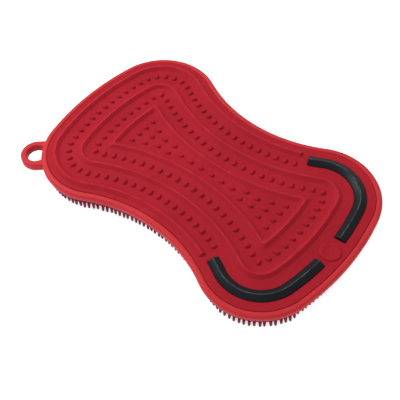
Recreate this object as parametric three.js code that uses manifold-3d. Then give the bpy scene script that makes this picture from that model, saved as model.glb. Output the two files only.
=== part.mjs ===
// A rubber curry brush: a hand-size pad with an hourglass outline. Its upper side carries ridges,
// rows of nubs and two scraper strips, its underside a mat of short bristles, and one corner has a
// hanging loop. Millimetres, +Z up. X is the pad's length, with the scraper strips at the +X end.
// The origin is the middle of the pad on the plane of the bristle tips, which it rests on.
import * as THREE from 'three';
import { mergeVertices } from 'three/addons/utils/BufferGeometryUtils.js';
import Module from 'manifold-3d';

// Outline of the pad over its rim, as tangent arcs: ends, corners and waists
const padLength = 130;
const padWidth = 81.4;
const waistWidth = 61.6;
const endRadius = 98;
const cornerRadius = 23.5;
const sharpestCorner = 1.0;      // least radius that an inset outline keeps at its corners

// Heights through the pad, from the bristle tips up
const bristleLength = 2.4;
const matThickness = 0.7;        // the sheet that the bristles grow from
const shellFloor = 0.8;
const coreThickness = 0.9;
const panelThickness = 1.8;
const gap = 0.3;                 // between pieces that touch or are bonded

// Shell
const rimWidth = 2.25;           // from the pad's outline to the seam around the panel
const rimRounding = 1.0;
const ledgeWidth = 1.6;          // step inside the rim that the panel's edge sits on
const bristleInset = 1.0;        // from the pad's outline to the bristle mat

// Hanging loop, on the corner at -X and -Y
const loopOut = 2.05;            // from the rounded corner's outline to the middle of the eye
const loopAngle = -138.7;        // degrees at the corner's centre, from +X
const eyeRadius = 3.75;
const loopWall = 2.55;           // rubber around the eye
const loopThickness = 3.5;
const loopRounding = 0.7;

// Pattern on the panel, measured inwards from the seam
const firstRidgeInset = 3.5;
const patternPitch = 5.2;        // ridge to nub row, and nub row to ridge
const ridgeWidth = 3.2;
const ridgeHeight = 1.1;
const nubPitch = 4.0;            // along the closed row, and across the middle field
const outerNubPitch = 3.8;       // along the outer row
const nubLength = 2.6;           // each nub is an oval across its row
const nubWidth = 1.9;
const nubTaper = 0.55;           // its top as a share of its foot
const nubHeight = 0.95;
const fieldPitch = 5.1;          // between the columns of nubs in the middle
const fieldClearance = 3.8;      // from a middle nub to the crest of the ridge around it

// Scraper strips
const stripWidth = 4.5;
const stripInset = 5.85;         // from the seam to the strip's middle
const stripHeight = 1.5;         // crest above the panel
const stripEdge = 0.4;           // side wall above the panel, below the slope
const stripDepth = 0.8;          // part of the strip let into the panel
const stripStart = 27.0;         // x of the end beside the waist
const stripGap = 11.6;           // between the two strips, across the end
const ridgeToStrip = 4.0;        // from the outer ridge's end to the strip

// Round disc between the strips, raised from the panel
const discRadius = 4.0;
const discHeight = 0.4;
const dishRadius = 2.1;          // plain round dish in its middle
const dishDepth = 0.2;

const matBottom = bristleLength;
const shellBottom = matBottom + matThickness + gap;
const coreBottom = shellBottom + shellFloor + gap;
const ledgeHeight = coreBottom + coreThickness;
const panelBottom = ledgeHeight + gap;
const panelTop = panelBottom + panelThickness;
const loopRadius = eyeRadius + loopWall;
const ridgeInset = (row) => firstRidgeInset + 2 * row * patternPitch;
const nubRowInset = (row) => ridgeInset(row) + patternPitch;
const ridgeRoom = waistWidth / 2 - rimWidth - firstRidgeInset - ridgeWidth / 2;
const ridgeCount = 1 + Math.floor(ridgeRoom / (2 * patternPitch)); // as many as fit at the waist
const sink = 0.3;                // depth that raised details reach into the panel, to join it

const joinTolerance = 1e-3;
const arcDivisions = 6;          // half of the straight pieces in each arc of an outline

const wasm = await Module();
wasm.setup();

// ---- outline -----------------------------------------------------------------------------------

// Where circles about (ax, 0) and (0, by) with these radii cross, on the side away from the middle
function crossing(ax, radiusA, by, radiusB) {
  const span = Math.hypot(ax, by);
  const along = (radiusA ** 2 - radiusB ** 2 + span ** 2) / (2 * span);
  const aside = Math.sqrt(radiusA ** 2 - along ** 2);
  return new THREE.Vector2(
    ax - (ax / span) * along + (by / span) * aside,
    (by / span) * along + (ax / span) * aside,
  );
}

const endX = padLength / 2 - endRadius;      // centre of the +X end's arc
const cornerY = padWidth / 2 - cornerRadius;
const cornerX = endX + Math.sqrt((endRadius - cornerRadius) ** 2 - cornerY ** 2);
const waistDrop = padWidth / 2 - waistWidth / 2;
const waistRise = waistWidth / 2 - cornerY;
const waistRadius = (cornerX ** 2 + waistRise ** 2 - cornerRadius ** 2) / (2 * waistDrop);
const waistY = waistWidth / 2 + waistRadius; // centre of the +Y waist's arc

// The pad's outline moved inwards, counterclockwise from the middle of the +X end
function outline(inset) {
  const end = endRadius - inset;
  const corner = Math.max(cornerRadius - inset, sharpestCorner);
  const waist = waistRadius + inset;
  const centre = crossing(endX, end - corner, waistY, waist + corner);
  const endAngle = Math.atan2(centre.y, centre.x - endX);
  const waistAngle = Math.atan2(waistY - centre.y, -centre.x);
  const turn = Math.PI;
  const shape = new THREE.Shape();
  shape.absarc(endX, 0, end, 0, endAngle);
  shape.absarc(centre.x, centre.y, corner, endAngle, waistAngle);
  shape.absarc(0, waistY, waist, waistAngle - turn, -waistAngle, true);
  shape.absarc(-centre.x, centre.y, corner, turn - waistAngle, turn - endAngle);
  shape.absarc(-endX, 0, end, turn - endAngle, turn + endAngle);
  shape.absarc(-centre.x, -centre.y, corner, turn + endAngle, turn + waistAngle);
  shape.absarc(0, -waistY, waist, waistAngle, turn - waistAngle, true);
  shape.absarc(centre.x, -centre.y, corner, -waistAngle, -endAngle);
  shape.absarc(endX, 0, end, -endAngle, 0);
  return shape;
}

const seam = (inset) => outline(rimWidth + inset);

// An outline as points, without the doubled ones where its arcs meet
function outlinePoints(shape, divisions) {
  const points = shape.getPoints(divisions);
  return points.filter((p, i) => (
    p.distanceTo(points[(i + 1) % points.length]) > joinTolerance
  ));
}

// Place and outward direction at a distance along an outline
function station(shape, distance) {
  const length = shape.getLength();
  const u = THREE.MathUtils.euclideanModulo(distance / length, 1);
  const tangent = shape.getTangentAt(u);
  return { point: shape.getPointAt(u), outward: new THREE.Vector2(tangent.y, -tangent.x) };
}

// Distance along an outline, from its start, of the first place within two distances that passes a test
function distanceTo(shape, from, to, passes) {
  const steps = 2000;
  for (let i = 0; i <= steps; i++) {
    const distance = from + ((to - from) * i) / steps;
    if (passes(station(shape, distance).point)) return distance;
  }
  return to;
}

// ---- solids ------------------------------------------------------------------------------------

function solid(geometry) {
  geometry.deleteAttribute('normal');
  geometry.deleteAttribute('uv');
  const merged = mergeVertices(geometry, 1e-4);
  return new wasm.Manifold(new wasm.Mesh({
    numProp: 3,
    vertProperties: new Float32Array(merged.attributes.position.array),
    triVerts: new Uint32Array(merged.index.array),
  }));
}

function slab(shape, bottom, top) {
  const profile = new THREE.Shape(outlinePoints(shape, arcDivisions));
  const geometry = new THREE.ExtrudeGeometry(profile, {
    depth: top - bottom, bevelEnabled: false,
  });
  return geometry.translate(0, 0, bottom);
}

// A slab whose upper and lower edges are rounded inside its outline
function roundedSlab(shape, bottom, top, rounding) {
  const profile = new THREE.Shape(outlinePoints(shape, arcDivisions));
  const geometry = new THREE.ExtrudeGeometry(profile, {
    depth: top - bottom - 2 * rounding,
    bevelThickness: rounding,
    bevelSize: rounding,
    bevelOffset: -rounding,
    bevelSegments: 3,
  });
  return geometry.translate(0, 0, bottom + rounding);
}

// Quads between rows of points, each row a closed section. The rows close on themselves, or the
// first and last sections are filled.
function skin(rows, closed) {
  const size = rows[0].length;
  const positions = rows.flat().flatMap((p) => [p.x, p.y, p.z]);
  const index = [];
  const spans = closed ? rows.length : rows.length - 1;
  for (let i = 0; i < spans; i++) {
    for (let j = 0; j < size; j++) {
      const a = i * size + j;
      const b = i * size + ((j + 1) % size);
      const c = ((i + 1) % rows.length) * size + ((j + 1) % size);
      const d = ((i + 1) % rows.length) * size + j;
      index.push(a, b, c, a, c, d);
    }
  }
  if (!closed) {
    const last = (rows.length - 1) * size;
    for (let j = 1; j < size - 1; j++) {
      index.push(0, j + 1, j, last, last + j, last + j + 1);
    }
  }
  const geometry = new THREE.BufferGeometry();
  geometry.setAttribute('position', new THREE.Float32BufferAttribute(positions, 3));
  geometry.setIndex(index);
  return geometry;
}

// A closed band around the pad: each point of its section is [inset from the seam, height]
function ringBand(section) {
  const outlines = section.map(([inset]) => outlinePoints(seam(inset), arcDivisions));
  const rows = outlines[0].map((_, i) => section.map(([, height], j) => (
    new THREE.Vector3(outlines[j][i].x, outlines[j][i].y, height)
  )));
  return skin(rows, true);
}

// An open band with square ends: each point of its section is [outwards from the path, height]
function openBand(path, from, to, section, steps) {
  const rows = [];
  for (let i = 0; i <= steps; i++) {
    const { point, outward } = station(path, from + ((to - from) * i) / steps);
    rows.push(section.map(([across, height]) => (
      new THREE.Vector3(point.x + outward.x * across, point.y + outward.y * across, height)
    )));
  }
  return skin(rows, false);
}

function mesh(name, body, color, roughness) {
  const { vertProperties, triVerts } = body.getMesh();
  const geometry = new THREE.BufferGeometry();
  geometry.setAttribute('position', new THREE.Float32BufferAttribute(vertProperties, 3));
  geometry.setIndex(new THREE.Uint32BufferAttribute(triVerts, 1));
  geometry.computeVertexNormals();
  const part = new THREE.Mesh(
    geometry,
    new THREE.MeshStandardMaterial({ color, roughness, metalness: 0 }),
  );
  part.name = name;
  return part;
}

// ---- lower moulding ----------------------------------------------------------------------------

const cornerCentre = new THREE.Vector2(-cornerX, -cornerY);
const loopDirection = new THREE.Vector2(1, 0).rotateAround(
  new THREE.Vector2(),
  THREE.MathUtils.degToRad(loopAngle),
);
const eye = cornerCentre.clone().addScaledVector(loopDirection, cornerRadius + loopOut);

function loopShape() {
  const angle = THREE.MathUtils.degToRad(loopAngle);
  const quarter = Math.PI / 2;
  const root = cornerCentre.clone().addScaledVector(loopDirection, cornerRadius - ledgeWidth);
  const aside = new THREE.Vector2(-loopDirection.y, loopDirection.x).multiplyScalar(loopRadius);
  const shape = new THREE.Shape();
  shape.moveTo(root.x + aside.x, root.y + aside.y);
  shape.lineTo(root.x - aside.x, root.y - aside.y);
  shape.absarc(eye.x, eye.y, loopRadius, angle - quarter, angle + quarter);
  return shape;
}

function brushShell() {
  const body = solid(roundedSlab(outline(0), shellBottom, panelTop, rimRounding));
  const loopTop = shellBottom + loopThickness;
  const plate = solid(roundedSlab(loopShape(), shellBottom, loopTop, loopRounding));
  const hole = new THREE.CylinderGeometry(eyeRadius, eyeRadius, 3 * loopThickness, 32);
  hole.rotateX(Math.PI / 2).translate(eye.x, eye.y, shellBottom);
  const loop = plate.subtract(solid(hole));
  const corePocket = solid(slab(seam(ledgeWidth), shellBottom + shellFloor, ledgeHeight + 1));
  const panelPocket = solid(slab(seam(0), ledgeHeight, panelTop + 1));
  return body.add(loop).subtract(corePocket).subtract(panelPocket);
}

// ---- upper moulding ----------------------------------------------------------------------------

const ridgeSection = (inset) => [
  [inset - ridgeWidth / 2, panelTop],
  [inset - ridgeWidth / 2, panelTop - sink],
  [inset + ridgeWidth / 2, panelTop - sink],
  [inset + ridgeWidth / 2, panelTop],
  [inset, panelTop + ridgeHeight],
];

const stripPath = seam(stripInset);
const stripFrom = distanceTo(stripPath, 0, stripPath.getLength() / 4, (p) => p.y >= stripGap / 2);
const stripTo = distanceTo(stripPath, stripFrom, stripPath.getLength() / 4, (p) => (
  p.x <= stripStart && p.y > cornerY
));

// The outer ridge runs around the -X end and stops short of the strips
function outerRidge() {
  const path = seam(ridgeInset(0));
  const length = path.getLength();
  const from = distanceTo(path, length / 8, length / 2, (p) => p.x <= stripStart - ridgeToStrip);
  const section = ridgeSection(0).map(([across, height]) => [-across, height]);
  return solid(openBand(path, from, length - from, section, 64));
}

// A nub at a place, with its length in the direction given there
function nub({ point, outward }) {
  const height = nubHeight + sink;
  const geometry = new THREE.CylinderGeometry(nubTaper, 1, height, 8);
  geometry.scale(nubLength / 2, 1, nubWidth / 2);
  geometry.rotateX(Math.PI / 2).rotateZ(outward.angle());
  return solid(geometry.translate(point.x, point.y, panelTop - sink + height / 2));
}

// The outer row runs both ways from the middle of the -X end, as far as the strips
function outerRow() {
  const path = seam(nubRowInset(0));
  const middle = path.getLength() / 2;
  const last = stripStart - gap - nubWidth / 2;
  const places = [station(path, middle)];
  for (let i = 1; ; i++) {
    const side = station(path, middle - i * outerNubPitch);
    if (side.point.x > last) break;
    places.push(side, station(path, middle + i * outerNubPitch));
  }
  return places;
}

// A row that goes all the way round, between two ridges
function closedRow(row) {
  const path = seam(nubRowInset(row));
  const length = path.getLength();
  const count = 2 * Math.round(length / nubPitch / 2);
  return Array.from({ length: count }, (_, i) => station(path, (i * length) / count));
}

// Columns of nubs inside the inner ridge, with as many in each as the room allows
function middleField() {
  const inset = rimWidth + ridgeInset(ridgeCount - 1);
  const outward = new THREE.Vector2(1, 0);
  const places = [];
  for (let x = fieldPitch / 2; x < padLength / 2 - inset - fieldClearance; x += fieldPitch) {
    const room = waistY - Math.sqrt((waistRadius + inset) ** 2 - x ** 2) - fieldClearance;
    const count = 1 + Math.max(0, Math.floor((2 * room) / nubPitch));
    for (let i = 0; i < count; i++) {
      const y = (i - (count - 1) / 2) * nubPitch;
      for (const side of [x, -x]) places.push({ point: new THREE.Vector2(side, y), outward });
    }
  }
  return places;
}

// A raised round disc with a plain dish in its middle, centred between the strips
function makersDisc() {
  const height = discHeight + sink;
  const disc = new THREE.LatheGeometry([
    new THREE.Vector2(0, 0),
    new THREE.Vector2(discRadius, 0),
    new THREE.Vector2(discRadius, height),
    new THREE.Vector2(dishRadius, height),
    new THREE.Vector2(dishRadius, height - dishDepth),
    new THREE.Vector2(0, height - dishDepth),
  ], 24);
  const x = padLength / 2 - rimWidth - stripInset;
  return solid(disc.rotateX(Math.PI / 2).translate(x, 0, panelTop - sink));
}

// The shape of a strip at the +Y corner, or with an allowance the groove that it lies in
function strip(allowance) {
  const half = stripWidth / 2 + allowance;
  const bottom = panelTop - stripDepth - allowance;
  const section = allowance > 0
    ? [[-half, bottom], [-half, panelTop + 1], [half, panelTop + 1], [half, bottom]]
    : [
      [-half, bottom],
      [-half, panelTop + stripEdge],
      [0, panelTop + stripHeight],
      [half, panelTop + stripEdge],
      [half, bottom],
    ];
  return solid(openBand(stripPath, stripFrom - allowance, stripTo + allowance, section, 28));
}

function facePanel() {
  let body = solid(slab(seam(gap), panelBottom, panelTop));
  body = body.add(outerRidge());
  const places = [...outerRow(), ...middleField()];
  for (let row = 1; row < ridgeCount; row++) {
    body = body.add(solid(ringBand(ridgeSection(ridgeInset(row)))));
    if (row < ridgeCount - 1) places.push(...closedRow(row));
  }
  for (const place of places) body = body.add(nub(place));
  const groove = strip(gap);
  return body.add(makersDisc()).subtract(groove).subtract(groove.mirror([0, 1, 0]));
}

// ---- assembly ----------------------------------------------------------------------------------

const mat = solid(slab(outline(bristleInset), 0, matBottom + matThickness));
const core = solid(slab(seam(ledgeWidth + gap), coreBottom, ledgeHeight));

const brush = new THREE.Group();
brush.add(
  mesh('brush_shell', brushShell(), 0xd63a42, 0.5),
  mesh('bristle_field', mat, 0x6b2038, 0.6),
  mesh('core_sheet', core, 0xd9d4c7, 0.6),
  mesh('face_panel', facePanel(), 0xa82532, 0.5),
  mesh('scraper_strip_near', strip(0).mirror([0, 1, 0]), 0x16191c, 0.35),
  mesh('scraper_strip_far', strip(0), 0x16191c, 0.35),
);

export default brush;
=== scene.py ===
import math
import random

import bmesh
import bpy
from mathutils import Matrix, Vector


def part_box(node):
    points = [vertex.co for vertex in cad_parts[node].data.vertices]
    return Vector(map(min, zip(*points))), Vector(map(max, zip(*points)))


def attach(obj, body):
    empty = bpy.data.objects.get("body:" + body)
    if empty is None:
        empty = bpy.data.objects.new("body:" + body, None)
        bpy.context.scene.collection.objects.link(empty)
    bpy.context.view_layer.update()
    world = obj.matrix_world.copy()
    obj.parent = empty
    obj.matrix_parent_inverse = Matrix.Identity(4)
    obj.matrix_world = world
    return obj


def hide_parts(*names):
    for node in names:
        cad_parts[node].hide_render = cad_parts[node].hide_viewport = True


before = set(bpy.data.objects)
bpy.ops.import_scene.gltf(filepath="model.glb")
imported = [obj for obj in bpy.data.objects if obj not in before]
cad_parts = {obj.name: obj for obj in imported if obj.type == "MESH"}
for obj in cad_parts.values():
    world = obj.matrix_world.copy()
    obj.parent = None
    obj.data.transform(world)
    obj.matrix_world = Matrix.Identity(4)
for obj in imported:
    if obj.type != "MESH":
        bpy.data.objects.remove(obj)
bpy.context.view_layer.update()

MM = 0.001
TINY = 1e-6                      # for comparing places

# ---- sizes ---------------------------------------------------------------------------------------

shell_low, shell_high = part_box("brush_shell")
mat_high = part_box("bristle_field")[1]
core_low, core_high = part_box("core_sheet")
panel_low, panel_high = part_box("face_panel")
strip_low, strip_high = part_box("scraper_strip_far")

# Outline of the pad: ends, corners and waists as tangent arcs
PAD_LENGTH = 2 * shell_high.x
PAD_WIDTH = 2 * shell_high.y
WAIST_WIDTH = 61.6 * MM
END_RADIUS = 98 * MM
CORNER_RADIUS = 23.5 * MM
SHARPEST_CORNER = 1.0 * MM       # least radius that an inset outline keeps at its corners
STEPS = {"end": 16, "corner": 30, "neck": 9, "waist": 22}    # straight pieces in a quarter

# Shell
GAP = 0.3 * MM                   # between the core and what holds it
SEAM = 2.25 * MM                 # from the outline in to the seam around the panel
RIM_ROUNDING = 1.15 * MM         # of the rim's upper edge
LOWER_ROUNDING = 2.0 * MM
SEAM_ROUNDING = 0.4 * MM
LEDGE = 1.6 * MM                 # width of the step that the panel's edge sits on
LEDGE_HEIGHT = core_high.z
SHELL_FLOOR = core_low.z - GAP
LOOP_OUT = 2.05 * MM             # from the corner's outline to the middle of the eye
LOOP_ANGLE = math.radians(-138.7)
LOOP_RADIUS = 6.3 * MM
LOOP_THICKNESS = 3.5 * MM
LOOP_ROUNDING = 0.7 * MM
LOOP_SIDES = 72
EYE_RADIUS = 3.75 * MM
NECK_DEPTH = 2.1 * MM            # how far the loop's ring reaches into the rim
NECK_WALL = 1.6 * MM             # the ring's wall there

# Panel: the pattern is measured inwards from the pad's outline
PANEL_TOP = shell_high.z
PANEL_INSET = SEAM + 0.07 * MM
PANEL_ROUNDING = 0.3 * MM
PITCH = 5.2 * MM                 # ridge to nub row, and nub row to ridge
FIRST_RIDGE = SEAM + 3.5 * MM
RIDGES = 3
RIDGE_HALF_WIDTH = 1.6 * MM
RIDGE_HEIGHT = panel_high.z - PANEL_TOP
RIDGE_END = 23.0 * MM            # x where the outer ridge stops beside the strips
END_SLOPE = 0.6 * MM             # length of the slope there
OUTER_NUB_PITCH = 3.8 * MM
LAST_NUB = 25.85 * MM            # no nub of the outer row has its middle past this x
NUB_PITCH = 4.0 * MM             # along the closed rows, and across the middle field
NUB_SIDES = 16
FIELD_PITCH = 5.1 * MM           # between the columns of nubs in the middle field
FIELD_CLEARANCE = 3.8 * MM       # from their middles to the crest of the ridge around them
DISC_SIDES = 48

# Scraper strips
STRIP_INSET = SEAM + 5.85 * MM
STRIP_HALF_WIDTH = 2.25 * MM
STRIP_WALL = 0.3 * MM            # upright side above the panel, below the slope
STRIP_ROUNDING = 0.28 * MM
STRIP_START = 27.0 * MM          # x of the ends beside the waists
STRIP_GAP = 11.6 * MM            # between the two strips, across the pad's end
STRIP_FIT = 0.1 * MM             # between a strip and its groove
STRIP_STEPS = 90

# Bristles
MAT_INSET = 0.9 * MM
MAT_SHEET = 0.7 * MM
MAT_ROUNDING = 0.2 * MM
BRISTLE_PITCH = 1.8 * MM
BRISTLE_RADIUS = 0.65 * MM
BRISTLE_SIDES = 6
BRISTLE_SINK = 0.2 * MM          # depth that a root reaches into the sheet
BRISTLE_LEAN = 0.2 * MM          # at most, each way
EDGE_ROW = 1.15 * MM             # from the outline to the outermost row
EDGE_JITTER = 0.12               # share of the spacing along that row
EDGE_SPLAY = 0.5 * MM            # outward lean of that row's tips
FIELD_START = EDGE_ROW + 0.85 * BRISTLE_PITCH
# How much further in the outermost row stands, in mm, by the X part of the outward direction
SET_BACK = [(-1.0, 0.9), (-0.35, 0.85), (0.0, 0.45), (0.45, 0.0), (0.9, 0.0), (1.0, 1.0)]

CORE_ROUNDING = 0.15 * MM


# ---- tools ---------------------------------------------------------------------------------------

def deselect():
    if bpy.context.object and bpy.context.object.mode != "OBJECT":
        bpy.ops.object.mode_set(mode="OBJECT")
    bpy.ops.object.select_all(action="DESELECT")


def activate(piece):
    deselect()
    piece.select_set(True)
    bpy.context.view_layer.objects.active = piece


def place_last(piece, ring):
    """Moves the newest points of a piece in edit mode to a ring's places."""
    work = bmesh.from_edit_mesh(piece.data)
    work.verts.ensure_lookup_table()
    for point, place in zip(work.verts[-len(ring):], ring):
        point.co = place


def select_ring(piece, first, count):
    """Selects a run of a piece's points, and what lies between them, in edit mode."""
    work = bmesh.from_edit_mesh(piece.data)
    work.verts.ensure_lookup_table()
    for point in work.verts[first:first + count]:
        point.select = True
    work.select_flush(True)
    bmesh.update_edit_mesh(piece.data)


def loft(name, rings, joined=False):
    """A closed piece through rings of equally many points, by extruding the first ring along."""
    count = len(rings[0])
    deselect()
    bpy.ops.mesh.primitive_circle_add(vertices=count, radius=1)
    piece = bpy.context.object
    piece.name = piece.data.name = name
    bpy.ops.object.mode_set(mode="EDIT")
    bpy.ops.mesh.select_all(action="SELECT")
    place_last(piece, rings[0])
    for ring in rings[1:]:
        bpy.ops.mesh.extrude_edges_move()
        place_last(piece, ring)
    if joined:
        select_ring(piece, 0, count)
        bpy.ops.mesh.bridge_edge_loops()
    else:
        bpy.ops.mesh.edge_face_add()
        bpy.ops.mesh.select_all(action="DESELECT")
        select_ring(piece, 0, count)
        bpy.ops.mesh.edge_face_add()
    bpy.ops.mesh.select_all(action="SELECT")
    bpy.ops.mesh.normals_make_consistent(inside=False)
    bpy.ops.object.mode_set(mode="OBJECT")
    return piece


def combine(piece, tool, operation):
    """Joins a piece with a tool piece, or cuts it by one, and removes the tool."""
    activate(piece)
    change = piece.modifiers.new(operation, "BOOLEAN")
    change.operation = operation
    change.solver = "MANIFOLD"
    change.object = tool
    bpy.ops.object.modifier_apply(modifier=change.name)
    bpy.data.objects.remove(tool)


def bevel_edges(piece, width, angle, segments):
    """Rounds the edges that turn by more than an angle in degrees."""
    activate(piece)
    bevel = piece.modifiers.new("bevel", "BEVEL")
    bevel.width = width
    bevel.segments = segments
    bevel.limit_method = "ANGLE"
    bevel.angle_limit = math.radians(angle)
    bpy.ops.object.modifier_apply(modifier=bevel.name)


def copies(piece, places, name):
    """One piece made of copies of a modelled one, which is removed. A place is x, y, how far the
    copy's lowest points lean in x and y from its highest ones, and a turn about Z."""
    points = [point.co.copy() for point in piece.data.vertices]
    faces = [tuple(face.vertices) for face in piece.data.polygons]
    low, high = min(point.z for point in points), max(point.z for point in points)
    made_points, made_faces = [], []
    for x, y, lean_x, lean_y, turn in places:
        first = len(made_points)
        turned = Matrix.Rotation(turn, 3, "Z")
        for point in points:
            share = (high - point.z) / (high - low)
            shift = Vector((x + lean_x * share, y + lean_y * share, 0))
            made_points.append(turned @ point + shift)
        made_faces.extend(tuple(first + i for i in face) for face in faces)
    mesh = bpy.data.meshes.new(name)
    mesh.from_pydata(made_points, [], made_faces)
    made = bpy.data.objects.new(name, mesh)
    bpy.context.scene.collection.objects.link(made)
    bpy.data.objects.remove(piece)
    return made


def finish_piece(piece, cad_node, material, angle=35):
    """Shades a piece, with edges over an angle kept sharp, and gives it its place in the frame."""
    activate(piece)
    bpy.ops.object.shade_smooth_by_angle(angle=math.radians(angle))
    piece.data.materials.clear()
    piece.data.materials.append(material)
    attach(piece, "root")
    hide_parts(cad_node)


# ---- outline -------------------------------------------------------------------------------------

def crossing(ax, radius_a, by, radius_b):
    """Where circles about (ax, 0) and (0, by) cross, on the side away from the middle."""
    span = math.hypot(ax, by)
    along = (radius_a ** 2 - radius_b ** 2 + span ** 2) / (2 * span)
    aside = math.sqrt(radius_a ** 2 - along ** 2)
    return (ax - ax / span * along + by / span * aside, by / span * along + ax / span * aside)


end_x = PAD_LENGTH / 2 - END_RADIUS
corner_y = PAD_WIDTH / 2 - CORNER_RADIUS
corner_x = end_x + math.sqrt((END_RADIUS - CORNER_RADIUS) ** 2 - corner_y ** 2)
waist_drop = (PAD_WIDTH - WAIST_WIDTH) / 2
waist_radius = (
    corner_x ** 2 + (WAIST_WIDTH / 2 - corner_y) ** 2 - CORNER_RADIUS ** 2
) / (2 * waist_drop)
waist_y = WAIST_WIDTH / 2 + waist_radius
ridge_end_angle = math.asin(RIDGE_END / (waist_radius + FIRST_RIDGE))


def arc(x, y, radius, start, end, steps):
    """Points about a centre from one angle to another, without the last one."""
    turns = [start + (end - start) * i / steps for i in range(steps)]
    return [(x + radius * math.cos(a), y + radius * math.sin(a)) for a in turns]


def outline(inset):
    """The pad's outline moved inwards, as points from the middle of the +X end."""
    end = END_RADIUS - inset
    corner = max(CORNER_RADIUS - inset, SHARPEST_CORNER)
    waist = waist_radius + inset
    x, y = crossing(end_x, end - corner, waist_y, waist + corner)
    end_angle = math.atan2(y, x - end_x)
    waist_angle = math.atan2(waist_y - y, -x)
    down = -math.pi / 2
    # The outer ridge slopes down to its end between these two points of the waist's arc
    ridge_end = down + ridge_end_angle
    ridge_stop = ridge_end + END_SLOPE / (waist_radius + FIRST_RIDGE)
    quarter = arc(end_x, 0, end, 0, end_angle, STEPS["end"])
    quarter += arc(x, y, corner, end_angle, waist_angle, STEPS["corner"])
    quarter += arc(0, waist_y, waist, waist_angle - math.pi, ridge_stop, STEPS["neck"])
    quarter += arc(0, waist_y, waist, ridge_stop, ridge_end, 1)
    quarter += arc(0, waist_y, waist, ridge_end, down, STEPS["waist"])
    quarter.append((0.0, waist_y - waist))
    half = quarter + [(-x, y) for x, y in reversed(quarter[:-1])]
    return half + [(x, -y) for x, y in reversed(half[1:-1])]


def level(inset, height):
    """The outline moved inwards, at a height."""
    return [Vector((x, y, height)) for x, y in outline(inset)]


class Path:
    """A closed line with places at distances along it, and the outward direction there."""

    LOOK = 0.2 * MM              # how far to look either way for the line's direction
    STRIDE = 0.05 * MM           # of a walk to the first place that passes a test

    def __init__(self, inset):
        ring = outline(inset)
        self.points = ring + ring[:1]
        self.marks = [0.0]
        for (ax, ay), (bx, by) in zip(self.points, self.points[1:]):
            self.marks.append(self.marks[-1] + math.hypot(bx - ax, by - ay))
        self.length = self.marks[-1]

    def at(self, distance):
        distance %= self.length
        low, high = 0, len(self.marks) - 1
        while high - low > 1:
            middle = (low + high) // 2
            low, high = (middle, high) if self.marks[middle] <= distance else (low, middle)
        share = (distance - self.marks[low]) / (self.marks[high] - self.marks[low])
        (ax, ay), (bx, by) = self.points[low], self.points[high]
        return ax + (bx - ax) * share, ay + (by - ay) * share

    def outward(self, distance):
        ax, ay = self.at(distance - self.LOOK)
        bx, by = self.at(distance + self.LOOK)
        span = math.hypot(bx - ax, by - ay)
        return (by - ay) / span, (ax - bx) / span

    def across(self, distance):
        """A place on the line, and the angle of the outward direction there."""
        out_x, out_y = self.outward(distance)
        return *self.at(distance), math.atan2(out_y, out_x)

    def first(self, passes, start=0.0):
        distance = start
        while not passes(*self.at(distance)):
            distance += self.STRIDE
        return distance


def full_turn(sides):
    """The angles of a ring's points."""
    return [2 * math.pi * i / sides for i in range(sides)]


def round_rows(rows, sides, x=0.0):
    """Rings about an upright axis at some x, from (radius, height) rows."""
    return [
        [Vector((x + r * math.cos(a), r * math.sin(a), z)) for a in full_turn(sides)]
        for r, z in rows
    ]


def rounding(inset, height, radius, start, end, steps=4):
    """(inset, height) rows of a rounded edge about a centre, from one angle to another in degrees.
    An angle of 0 points outwards and 90 points up."""
    turns = [math.radians(start + (end - start) * i / steps) for i in range(steps + 1)]
    return [(inset - radius * math.cos(a), height + radius * math.sin(a)) for a in turns]


# ---- materials -----------------------------------------------------------------------------------

def new_group(name, inputs, outputs):
    group = bpy.data.node_groups.new(name, "ShaderNodeTree")
    for label, value in inputs.items():
        socket = group.interface.new_socket(label, in_out="INPUT", socket_type="NodeSocketFloat")
        socket.default_value = value
    for label in outputs:
        group.interface.new_socket(label, in_out="OUTPUT", socket_type="NodeSocketFloat")
    return group, group.nodes.new("NodeGroupInput"), group.nodes.new("NodeGroupOutput")


def node(tree, kind, values=None, **settings):
    made = tree.nodes.new(kind)
    for key, value in settings.items():
        setattr(made, key, value)
    for key, value in (values or {}).items():
        made.inputs[key].default_value = value
    return made


def grain_group():
    """Fine moulded grain for a bump, and broad soft patches for tone and gloss."""
    group, given, result = new_group(
        "rubber_grain", {"Grain Scale": 2600, "Patch Scale": 60}, ["Height", "Patches"]
    )
    link = group.links.new
    place = node(group, "ShaderNodeTexCoord")
    fine = node(group, "ShaderNodeTexNoise", {"Detail": 3, "Roughness": 0.6})
    broad = node(group, "ShaderNodeTexNoise", {"Detail": 4, "Roughness": 0.55})
    link(place.outputs["Object"], fine.inputs["Vector"])
    link(place.outputs["Object"], broad.inputs["Vector"])
    link(given.outputs["Grain Scale"], fine.inputs["Scale"])
    link(given.outputs["Patch Scale"], broad.inputs["Scale"])
    link(fine.outputs["Fac"], result.inputs["Height"])
    link(broad.outputs["Fac"], result.inputs["Patches"])
    return group


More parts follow.
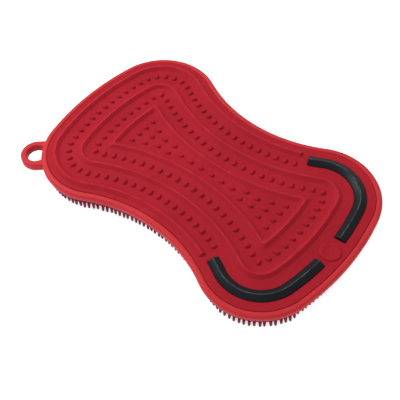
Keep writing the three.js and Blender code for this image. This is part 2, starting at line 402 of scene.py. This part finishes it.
def worn_and_highlit_group():
    """A mask that is high on the tops between two heights, broken up by rubbing. The lighter colour
    laid where it is high is partly rubbing and partly a painted highlight.
    """
    group, given, result = new_group(
        "worn_and_highlit_tops", {"Low": 0.008, "High": 0.009, "Rub Scale": 420}, ["Mask"]
    )
    link = group.links.new
    place = node(group, "ShaderNodeTexCoord")
    split = node(group, "ShaderNodeSeparateXYZ")
    rise = node(group, "ShaderNodeMapRange", interpolation_type="SMOOTHSTEP")
    noise = node(group, "ShaderNodeTexNoise", {"Detail": 2})
    rub = node(group, "ShaderNodeMapRange", {"From Min": 0.3, "From Max": 0.65})
    both = node(group, "ShaderNodeMath", operation="MULTIPLY")
    link(place.outputs["Object"], split.inputs["Vector"])
    link(split.outputs["Z"], rise.inputs["Value"])
    link(given.outputs["Low"], rise.inputs["From Min"])
    link(given.outputs["High"], rise.inputs["From Max"])
    link(place.outputs["Object"], noise.inputs["Vector"])
    link(given.outputs["Rub Scale"], noise.inputs["Scale"])
    link(noise.outputs["Fac"], rub.inputs["Value"])
    link(rise.outputs["Result"], both.inputs[0])
    link(rub.outputs["Result"], both.inputs[1])
    link(both.outputs["Value"], result.inputs["Mask"])
    return group


GRAIN = grain_group()
WORN_AND_HIGHLIT_MASK = worn_and_highlit_group()
GRAIN_DEPTH = 0.02 * MM
GLOW_DEPTH = 0.9 * MM
GLOW_RADIUS = (1.0, 0.12, 0.12)  # red goes much deeper than green and blue


def rubber(
    name, base, shade, worn_and_highlit_colour, worn_and_highlit_heights, rough, grain, bump, specular=0.5, worn_and_highlit_amount=1.0, glow=0.0
):
    """A moulded rubber: base and shade in soft patches, a lighter colour on its tops, a fine grain.
    The lighter colour is partly rubbing and partly a painted highlight; it sets in between the two
    heights given. rough gives the smoothest and the dullest roughness, and glow how much light goes
    into the rubber and comes back out redder."""
    material = bpy.data.materials.new(name)
    material.use_nodes = True
    tree = material.node_tree
    link = tree.links.new
    shader = tree.nodes["Principled BSDF"]
    shader.inputs["Specular IOR Level"].default_value = specular
    shader.inputs["Subsurface Weight"].default_value = glow
    shader.inputs["Subsurface Radius"].default_value = GLOW_RADIUS
    shader.inputs["Subsurface Scale"].default_value = GLOW_DEPTH
    surface = node(tree, "ShaderNodeGroup", node_tree=GRAIN)
    surface.inputs["Grain Scale"].default_value = grain
    tops = node(tree, "ShaderNodeGroup", node_tree=WORN_AND_HIGHLIT_MASK)
    tops.inputs["Low"].default_value, tops.inputs["High"].default_value = worn_and_highlit_heights
    patches = node(tree, "ShaderNodeMapRange", {"From Min": 0.35, "From Max": 0.68})
    tone = node(tree, "ShaderNodeMix", data_type="RGBA")
    tone.inputs["A"].default_value = (*base, 1)
    tone.inputs["B"].default_value = (*shade, 1)
    amount = node(tree, "ShaderNodeMath", operation="MULTIPLY")
    amount.inputs[1].default_value = worn_and_highlit_amount
    # Lays the lighter colour on the tops: partly rubbing, partly a painted highlight.
    rubbed_and_highlit = node(tree, "ShaderNodeMix", data_type="RGBA")
    rubbed_and_highlit.inputs["B"].default_value = (*worn_and_highlit_colour, 1)
    gloss = node(tree, "ShaderNodeMapRange", {"To Min": rough[0], "To Max": rough[1]})
    relief = node(tree, "ShaderNodeBump", {"Strength": bump, "Distance": GRAIN_DEPTH})
    link(surface.outputs["Patches"], patches.inputs["Value"])
    link(patches.outputs["Result"], tone.inputs["Factor"])
    link(tops.outputs["Mask"], amount.inputs[0])
    link(amount.outputs["Value"], rubbed_and_highlit.inputs["Factor"])
    link(tone.outputs["Result"], rubbed_and_highlit.inputs["A"])
    link(rubbed_and_highlit.outputs["Result"], shader.inputs["Base Color"])
    link(surface.outputs["Patches"], gloss.inputs["Value"])
    link(gloss.outputs["Result"], shader.inputs["Roughness"])
    link(surface.outputs["Height"], relief.inputs["Height"])
    link(relief.outputs["Normal"], shader.inputs["Normal"])
    return material


# The rim's top is painted a little lighter: partly rubbing, partly a painted highlight.
shell_rubber = rubber(
    "shell_red_silicone",
    base=(0.41, 0.022, 0.028), shade=(0.37, 0.018, 0.024), worn_and_highlit_colour=(0.43, 0.03, 0.033),
    worn_and_highlit_heights=(PANEL_TOP - 0.6 * MM, PANEL_TOP), worn_and_highlit_amount=0.3,
    rough=(0.42, 0.58), grain=1800, bump=0.25, specular=0.08, glow=0.25,
)
# The ridge crests are painted lighter: partly rubbing, partly a painted highlight along them.
panel_rubber = rubber(
    "panel_deep_red_silicone",
    base=(0.300, 0.0122, 0.0205), shade=(0.264, 0.0106, 0.0178), worn_and_highlit_colour=(0.37, 0.025, 0.038),
    worn_and_highlit_heights=(PANEL_TOP + 0.95 * MM, panel_high.z), worn_and_highlit_amount=0.7,
    rough=(0.5, 0.68), grain=2600, bump=0.5, specular=0.02, glow=0.3,
)
# A light grey line is painted along the crest: partly rubbing, partly a painted highlight.
strip_rubber = rubber(
    "strip_black_elastomer",
    base=(0.004, 0.005, 0.007), shade=(0.006, 0.008, 0.011), worn_and_highlit_colour=(0.10, 0.12, 0.115),
    worn_and_highlit_heights=(strip_high.z - 0.08 * MM, strip_high.z), worn_and_highlit_amount=0.6,
    rough=(0.40, 0.50), grain=3200, bump=0.3, specular=0.11,
)
# Painted shade: the bristles are darker towards their roots and lighter towards their tips.
bristle_rubber = rubber(
    "bristle_maroon_silicone",
    base=(0.16, 0.016, 0.042), shade=(0.13, 0.012, 0.034), worn_and_highlit_colour=(0.17, 0.018, 0.045),
    worn_and_highlit_heights=(0.8 * MM, 0.0),
    rough=(0.5, 0.65), grain=2400, bump=0.2, specular=0.08,
)
core_plastic = rubber(
    "core_cream_plastic",
    base=(0.66, 0.60, 0.50), shade=(0.60, 0.55, 0.46), worn_and_highlit_colour=(0.7, 0.65, 0.55),
    worn_and_highlit_heights=(core_high.z, core_high.z + MM),
    rough=(0.45, 0.6), grain=900, bump=0.2,
)


# ---- shell with its hanging loop -----------------------------------------------------------------

AWAY = Vector((math.cos(LOOP_ANGLE), math.sin(LOOP_ANGLE)))
EYE = Vector((-corner_x, -corner_y)) + (CORNER_RADIUS + LOOP_OUT) * AWAY
QUARTER = [math.radians(90 * i / 5) for i in range(6)]    # angles around a rounded edge


def loop_section(angle):
    """The loop's section at an angle about its eye, with round edges at the eye and outside. On
    the pad's side the ring is drawn out to a straight-sided neck that ends inside the rim."""
    direction = Vector((math.cos(angle), math.sin(angle)))
    aside = Vector((-AWAY.y, AWAY.x))
    back, across = -direction.dot(AWAY), abs(direction.dot(aside))
    reach, inside = LOOP_RADIUS, EYE_RADIUS
    if back > 0:
        reach = min(LOOP_RADIUS / max(across, TINY), (LOOP_OUT + NECK_DEPTH) / back)
        inside = min(EYE_RADIUS, (LOOP_OUT + NECK_DEPTH - NECK_WALL) / back)
    bottom, top = shell_low.z, shell_low.z + LOOP_THICKNESS
    inner = [(inside + LOOP_ROUNDING * (1 - math.cos(a)), math.sin(a)) for a in QUARTER]
    outer = [(reach - LOOP_ROUNDING * (1 - math.cos(a)), math.sin(a)) for a in QUARTER]
    rise = top - LOOP_ROUNDING
    fall = bottom + LOOP_ROUNDING
    section = [(r, rise + LOOP_ROUNDING * s) for r, s in outer]
    section += [(r, rise + LOOP_ROUNDING * s) for r, s in reversed(inner)]
    section += [(r, fall - LOOP_ROUNDING * s) for r, s in inner]
    section += [(r, fall - LOOP_ROUNDING * s) for r, s in reversed(outer)]
    return [Vector((*(EYE + direction * r), z)) for r, z in section]


def shell():
    bottom, top = shell_low.z, shell_high.z
    rows = rounding(LOWER_ROUNDING, bottom + LOWER_ROUNDING, LOWER_ROUNDING, -90, 0)
    rows += rounding(RIM_ROUNDING, top - RIM_ROUNDING, RIM_ROUNDING, 0, 90, 6)
    rows += rounding(SEAM - SEAM_ROUNDING, top - SEAM_ROUNDING, SEAM_ROUNDING, 90, 180)
    rows += [(SEAM, LEDGE_HEIGHT), (SEAM + LEDGE, LEDGE_HEIGHT), (SEAM + LEDGE, SHELL_FLOOR)]
    body = loft("shell_with_loop", [level(*row) for row in rows])
    loop = loft("loop", [loop_section(a) for a in full_turn(LOOP_SIDES)], joined=True)
    combine(body, loop, "UNION")
    return body


# ---- ridged panel --------------------------------------------------------------------------------

# Half of a ridge's section: share of the half width from the crest, share of the height
RIDGE_SECTION = [(0.0, 1.0), (0.08, 0.985), (0.17, 0.92), (0.86, 0.10), (0.94, 0.03), (1.0, 0.0)]
# In mm, with heights above the panel. A nub, a low dome on a flared foot: half length across its
# row, half width along it, height
NUB_SECTION = [
    (1.32, 0.97, -0.25), (1.30, 0.95, 0.02), (1.16, 0.81, 0.24), (0.98, 0.63, 0.60),
    (0.84, 0.50, 0.76), (0.56, 0.26, 0.86),
]
# The maker's disc, from its foot in the panel to the plain dish in its middle: radius, height
DISC_SECTION = [
    (4.0, -0.25), (4.0, 0.26), (3.95, 0.36), (3.84, 0.40), (2.30, 0.40), (2.15, 0.35),
    (1.95, 0.23), (1.80, 0.20),
]


def ridge_rows(inset):
    """(inset, height) rows over a ridge, from its outer foot to its inner one."""
    side = [(share * RIDGE_HALF_WIDTH, rise * RIDGE_HEIGHT) for share, rise in RIDGE_SECTION]
    outer = [(inset - across, rise) for across, rise in reversed(side)]
    inner = [(inset + across, rise) for across, rise in side[1:]]
    return outer + inner


def ridge_ring(inset, rise, open_end):
    """A ring of the panel's top. With an open end, the ridge is only raised as far as its end."""
    stop = (waist_radius + inset) * math.sin(ridge_end_angle) + TINY
    ring = []
    for x, y in outline(inset):
        raised = not open_end or x <= stop
        ring.append(Vector((x, y, PANEL_TOP + (rise if raised else 0.0))))
    return ring


def panel_body():
    inner, upper = PANEL_INSET + PANEL_ROUNDING, PANEL_TOP - PANEL_ROUNDING
    rows = [level(inner, panel_low.z)]
    rows += [level(*row) for row in rounding(inner, upper, PANEL_ROUNDING, 0, 90)]
    for number in range(RIDGES):
        for inset, rise in ridge_rows(FIRST_RIDGE + 2 * number * PITCH):
            rows.append(ridge_ring(inset, rise, number == 0))
    return loft("ridged_panel", rows)


def outer_nub_places():
    """Along the outer row, both ways from the middle of the -X end as far as the strips."""
    path = Path(FIRST_RIDGE + PITCH)
    middle = path.length / 2
    places = [path.across(middle)]
    step = OUTER_NUB_PITCH
    while path.at(middle - step)[0] <= LAST_NUB:
        places += [path.across(middle - step), path.across(middle + step)]
        step += OUTER_NUB_PITCH
    return places


def closed_nub_places(row):
    path = Path(FIRST_RIDGE + (2 * row + 1) * PITCH)
    count = 2 * round(path.length / NUB_PITCH / 2)
    return [path.across(i * path.length / count) for i in range(count)]


def field_nub_places():
    """Columns of nubs inside the inner ridge, with as many in each as the room allows."""
    inset = FIRST_RIDGE + 2 * (RIDGES - 1) * PITCH
    places = []
    x = FIELD_PITCH / 2
    while x < PAD_LENGTH / 2 - inset - FIELD_CLEARANCE:
        room = waist_y - math.sqrt((waist_radius + inset) ** 2 - x ** 2) - FIELD_CLEARANCE
        count = 1 + max(0, int(2 * room / NUB_PITCH))
        for i in range(count):
            y = (i - (count - 1) / 2) * NUB_PITCH
            places += [(x, y, 0.0), (-x, y, 0.0)]
        x += FIELD_PITCH
    return places


def squared(value):
    """A sine or cosine drawn towards 1 or -1, which makes an ellipse a little squarer."""
    return math.copysign(abs(value) ** 0.75, value)


def nub():
    corners = [(squared(math.cos(a)), squared(math.sin(a))) for a in full_turn(NUB_SIDES)]
    return loft("nub", [
        [Vector((long * MM * x, wide * MM * y, PANEL_TOP + z * MM)) for x, y in corners]
        for long, wide, z in NUB_SECTION
    ])


def makers_disc():
    rows = [(radius * MM, PANEL_TOP + z * MM) for radius, z in DISC_SECTION]
    return loft("makers_disc", round_rows(rows, DISC_SIDES, PAD_LENGTH / 2 - STRIP_INSET))


def strip_ends():
    """The line through the far strip's middle, and the distances along it of the strip's ends."""
    path = Path(STRIP_INSET)
    start = path.first(lambda x, y: y >= STRIP_GAP / 2)
    end = path.first(lambda x, y: x <= STRIP_START and y > corner_y, start)
    return path, start, end


def band(name, section, side, allowance=0.0):
    """A bar with square ends along a strip's line, longer than the strip by an allowance at each
    end. side is 1 at the +Y corner and -1 at the -Y corner."""
    path, start, end = strip_ends()
    rings = []
    for i in range(STRIP_STEPS + 1):
        distance = start - allowance + (end - start + 2 * allowance) * i / STRIP_STEPS
        (x, y), (out_x, out_y) = path.at(distance), path.outward(distance)
        rings.append([
            Vector((x + out_x * across, side * (y + out_y * across), z)) for across, z in section
        ])
    return loft(name, rings)


def groove(side):
    """What is cut from the panel to seat a strip."""
    half = STRIP_HALF_WIDTH + STRIP_FIT
    bottom, top = strip_low.z - STRIP_FIT, strip_high.z + MM
    section = [(-half, bottom), (-half, top), (half, top), (half, bottom)]
    return band("groove", section, side, STRIP_FIT)


def panel():
    body = panel_body()
    places = outer_nub_places() + field_nub_places()
    for row in range(1, RIDGES - 1):
        places += closed_nub_places(row)
    nubs = copies(nub(), [(x, y, 0, 0, turn) for x, y, turn in places], "nubs")
    combine(body, nubs, "UNION")
    combine(body, makers_disc(), "UNION")
    for side in (1, -1):
        combine(body, groove(side), "DIFFERENCE")
    return body


# ---- scraper strips ------------------------------------------------------------------------------

def strip(name, side):
    """A bar whose upper side slopes up to a crest along its middle."""
    half = STRIP_HALF_WIDTH
    wall = PANEL_TOP + STRIP_WALL
    crest = strip_high.z
    slope = [
        (half, wall),
        (half - 0.12 * MM, wall + 0.14 * MM),
        (0.28 * MM, crest - 0.10 * MM),
        (0.12 * MM, crest - 0.02 * MM),
        (0.0, crest),
    ]
    left = [(-across, z) for across, z in slope]
    section = [(-half, strip_low.z)] + left + slope[-2::-1] + [(half, strip_low.z)]
    bar = band(name, section, side)
    bevel_edges(bar, STRIP_ROUNDING, angle=60, segments=3)
    return bar


# ---- bristle mat and core ------------------------------------------------------------------------

def bristle():
    """One short tapered bristle, its root reaching into the sheet."""
    root = mat_high.z - MAT_SHEET
    rows = [
        (BRISTLE_RADIUS, root + BRISTLE_SINK),
        (BRISTLE_RADIUS, root),
        (0.55 * MM, root * 0.45),
        (0.40 * MM, 0.2 * MM),
        (0.22 * MM, 0.0),
    ]
    return loft("bristle", round_rows(rows, BRISTLE_SIDES))


def half_width(inset):
    """A function that gives the inset outline's half width at any x, and 0 past its ends."""
    ring = [point for point in outline(inset) if point[1] >= 0]
    ring.sort()

    def at(x):
        if not ring[0][0] < x < ring[-1][0]:
            return 0.0
        for (ax, ay), (bx, by) in zip(ring, ring[1:]):
            if ax <= x <= bx and bx > ax:
                return ay + (by - ay) * (x - ax) / (bx - ax)
        return 0.0
    return at


def set_back(out_x):
    """How much further in the outermost row stands where the outline faces a direction."""
    for (low, low_back), (high, high_back) in zip(SET_BACK, SET_BACK[1:]):
        if out_x <= high:
            break
    share = min(max((out_x - low) / (high - low), 0.0), 1.0)
    return (low_back + (high_back - low_back) * share) * MM


def bristle_places():
    """One row along the outline, and staggered rows over the rest."""
    chance = random.Random(4)
    path = Path(EDGE_ROW)
    count = round(path.length / BRISTLE_PITCH)
    places = []
    for i in range(count):
        distance = (i + chance.uniform(-EDGE_JITTER, EDGE_JITTER)) * path.length / count
        splay = EDGE_SPLAY + chance.uniform(-BRISTLE_LEAN, BRISTLE_LEAN)
        out_x, out_y = path.outward(distance)
        x, y = path.at(distance)
        back = set_back(out_x)
        splay *= 1 - 0.5 * back / MM      # bristles that stand further in lean out less
        places.append((x - out_x * back, y - out_y * back, out_x * splay, out_y * splay, 0))
    room = half_width(FIELD_START)
    column_pitch = BRISTLE_PITCH * math.sqrt(3) / 2
    columns = int(PAD_LENGTH / 2 / column_pitch)
    for column in range(-columns, columns + 1):
        x = column * column_pitch
        stagger = BRISTLE_PITCH / 2 * (column % 2)
        rows = int(room(x) / BRISTLE_PITCH) + 1
        for row in range(-rows, rows + 1):
            y = row * BRISTLE_PITCH + stagger
            if abs(y) < room(x):
                lean = [chance.uniform(-BRISTLE_LEAN, BRISTLE_LEAN) for _ in range(2)]
                places.append((x, y, *lean, 0))
    return places


def flat_sheet(name, inset, bottom, top, edge):
    """A sheet in the shape of the outline moved inwards, with rounded edges."""
    rows = rounding(inset + edge, bottom + edge, edge, -90, 0, 3)
    rows += rounding(inset + edge, top - edge, edge, 0, 90, 3)
    return loft(name, [level(*row) for row in rows])


def bristle_mat():
    bottom, top = mat_high.z - MAT_SHEET, mat_high.z
    sheet = flat_sheet("bristle_mat", MAT_INSET, bottom, top, MAT_ROUNDING)
    bristles = copies(bristle(), bristle_places(), "bristles")
    deselect()
    bristles.select_set(True)
    sheet.select_set(True)
    bpy.context.view_layer.objects.active = sheet
    bpy.ops.object.join()
    return sheet


def core():
    return flat_sheet("core", SEAM + LEDGE + GAP, core_low.z, core_high.z, CORE_ROUNDING)


# ---- assembly ------------------------------------------------------------------------------------

finish_piece(shell(), "brush_shell", shell_rubber)
finish_piece(panel(), "face_panel", panel_rubber, 30)
finish_piece(strip("far_strip", 1), "scraper_strip_far", strip_rubber)
finish_piece(strip("near_strip", -1), "scraper_strip_near", strip_rubber)
finish_piece(bristle_mat(), "bristle_field", bristle_rubber, 50)
finish_piece(core(), "core_sheet", core_plastic)


# ---- floor, light and camera ---------------------------------------------------------------------

FLOOR_SIZE = 6
FLOOR_TONE = 0.7
FLOOR_LIGHT = 0.68               # of its own, so that it stays almost white

CAMERA_PLACE = Vector((0.1244, -0.1325, 0.2304 + PANEL_TOP))
CAMERA_TURN = math.radians(44.18)     # about Z, from looking along +Y
CAMERA_TILT = math.radians(53.79)     # down from level
CAMERA_ROLL = math.radians(-4.45)
SENSOR_WIDTH = 36                # mm
FOCAL_LENGTH = 69.53             # mm


def floor():
    deselect()
    bpy.ops.mesh.primitive_plane_add(size=FLOOR_SIZE)
    made = bpy.context.object
    made.name = "floor"
    paint = bpy.data.materials.new("pale_floor")
    paint.use_nodes = True
    shader = paint.node_tree.nodes["Principled BSDF"]
    shader.inputs["Base Color"].default_value = (FLOOR_TONE, FLOOR_TONE, FLOOR_TONE, 1)
    shader.inputs["Roughness"].default_value = 0.9
    shader.inputs["Specular IOR Level"].default_value = 0.1
    shader.inputs["Emission Color"].default_value = (1, 1, 1, 1)
    shader.inputs["Emission Strength"].default_value = FLOOR_LIGHT
    made.data.materials.append(paint)


def softbox(name, place, size, power):
    """A round soft light that faces the object."""
    light = bpy.data.lights.new(name, "AREA")
    light.shape = "DISK"
    light.size = size
    light.energy = power
    lamp = bpy.data.objects.new(name, light)
    lamp.location = place
    lamp.rotation_mode = "QUATERNION"
    lamp.rotation_quaternion = Vector(place).to_track_quat("Z", "Y")
    bpy.context.scene.collection.objects.link(lamp)


def sky(strength):
    world = bpy.data.worlds.new("studio")
    world.use_nodes = True
    background = world.node_tree.nodes["Background"]
    background.inputs["Color"].default_value = (1, 1, 1, 1)
    background.inputs["Strength"].default_value = strength
    bpy.context.scene.world = world


def camera():
    level_x, level_y = math.sin(CAMERA_TURN), -math.cos(CAMERA_TURN)
    flat = math.cos(CAMERA_TILT)
    back = Vector((level_x * flat, level_y * flat, math.sin(CAMERA_TILT)))
    right = Vector((math.cos(CAMERA_TURN), math.sin(CAMERA_TURN), 0))
    up = back.cross(right)
    cos_roll, sin_roll = math.cos(CAMERA_ROLL), math.sin(CAMERA_ROLL)
    axes = (right * cos_roll + up * sin_roll, up * cos_roll - right * sin_roll, back)
    lens = bpy.data.cameras.new("camera")
    lens.sensor_width = SENSOR_WIDTH
    lens.lens = FOCAL_LENGTH
    lens.clip_start = 0.01
    eyepoint = bpy.data.objects.new("camera", lens)
    matrix = Matrix(axes).transposed().to_4x4()
    matrix.translation = CAMERA_PLACE
    eyepoint.matrix_world = matrix
    bpy.context.scene.collection.objects.link(eyepoint)
    bpy.context.scene.camera = eyepoint


floor()
sky(strength=0.83)
softbox("key", place=(-0.42, -0.05, 0.50), size=0.18, power=3.9)
camera()
bpy.context.scene.view_settings.view_transform = "Standard"
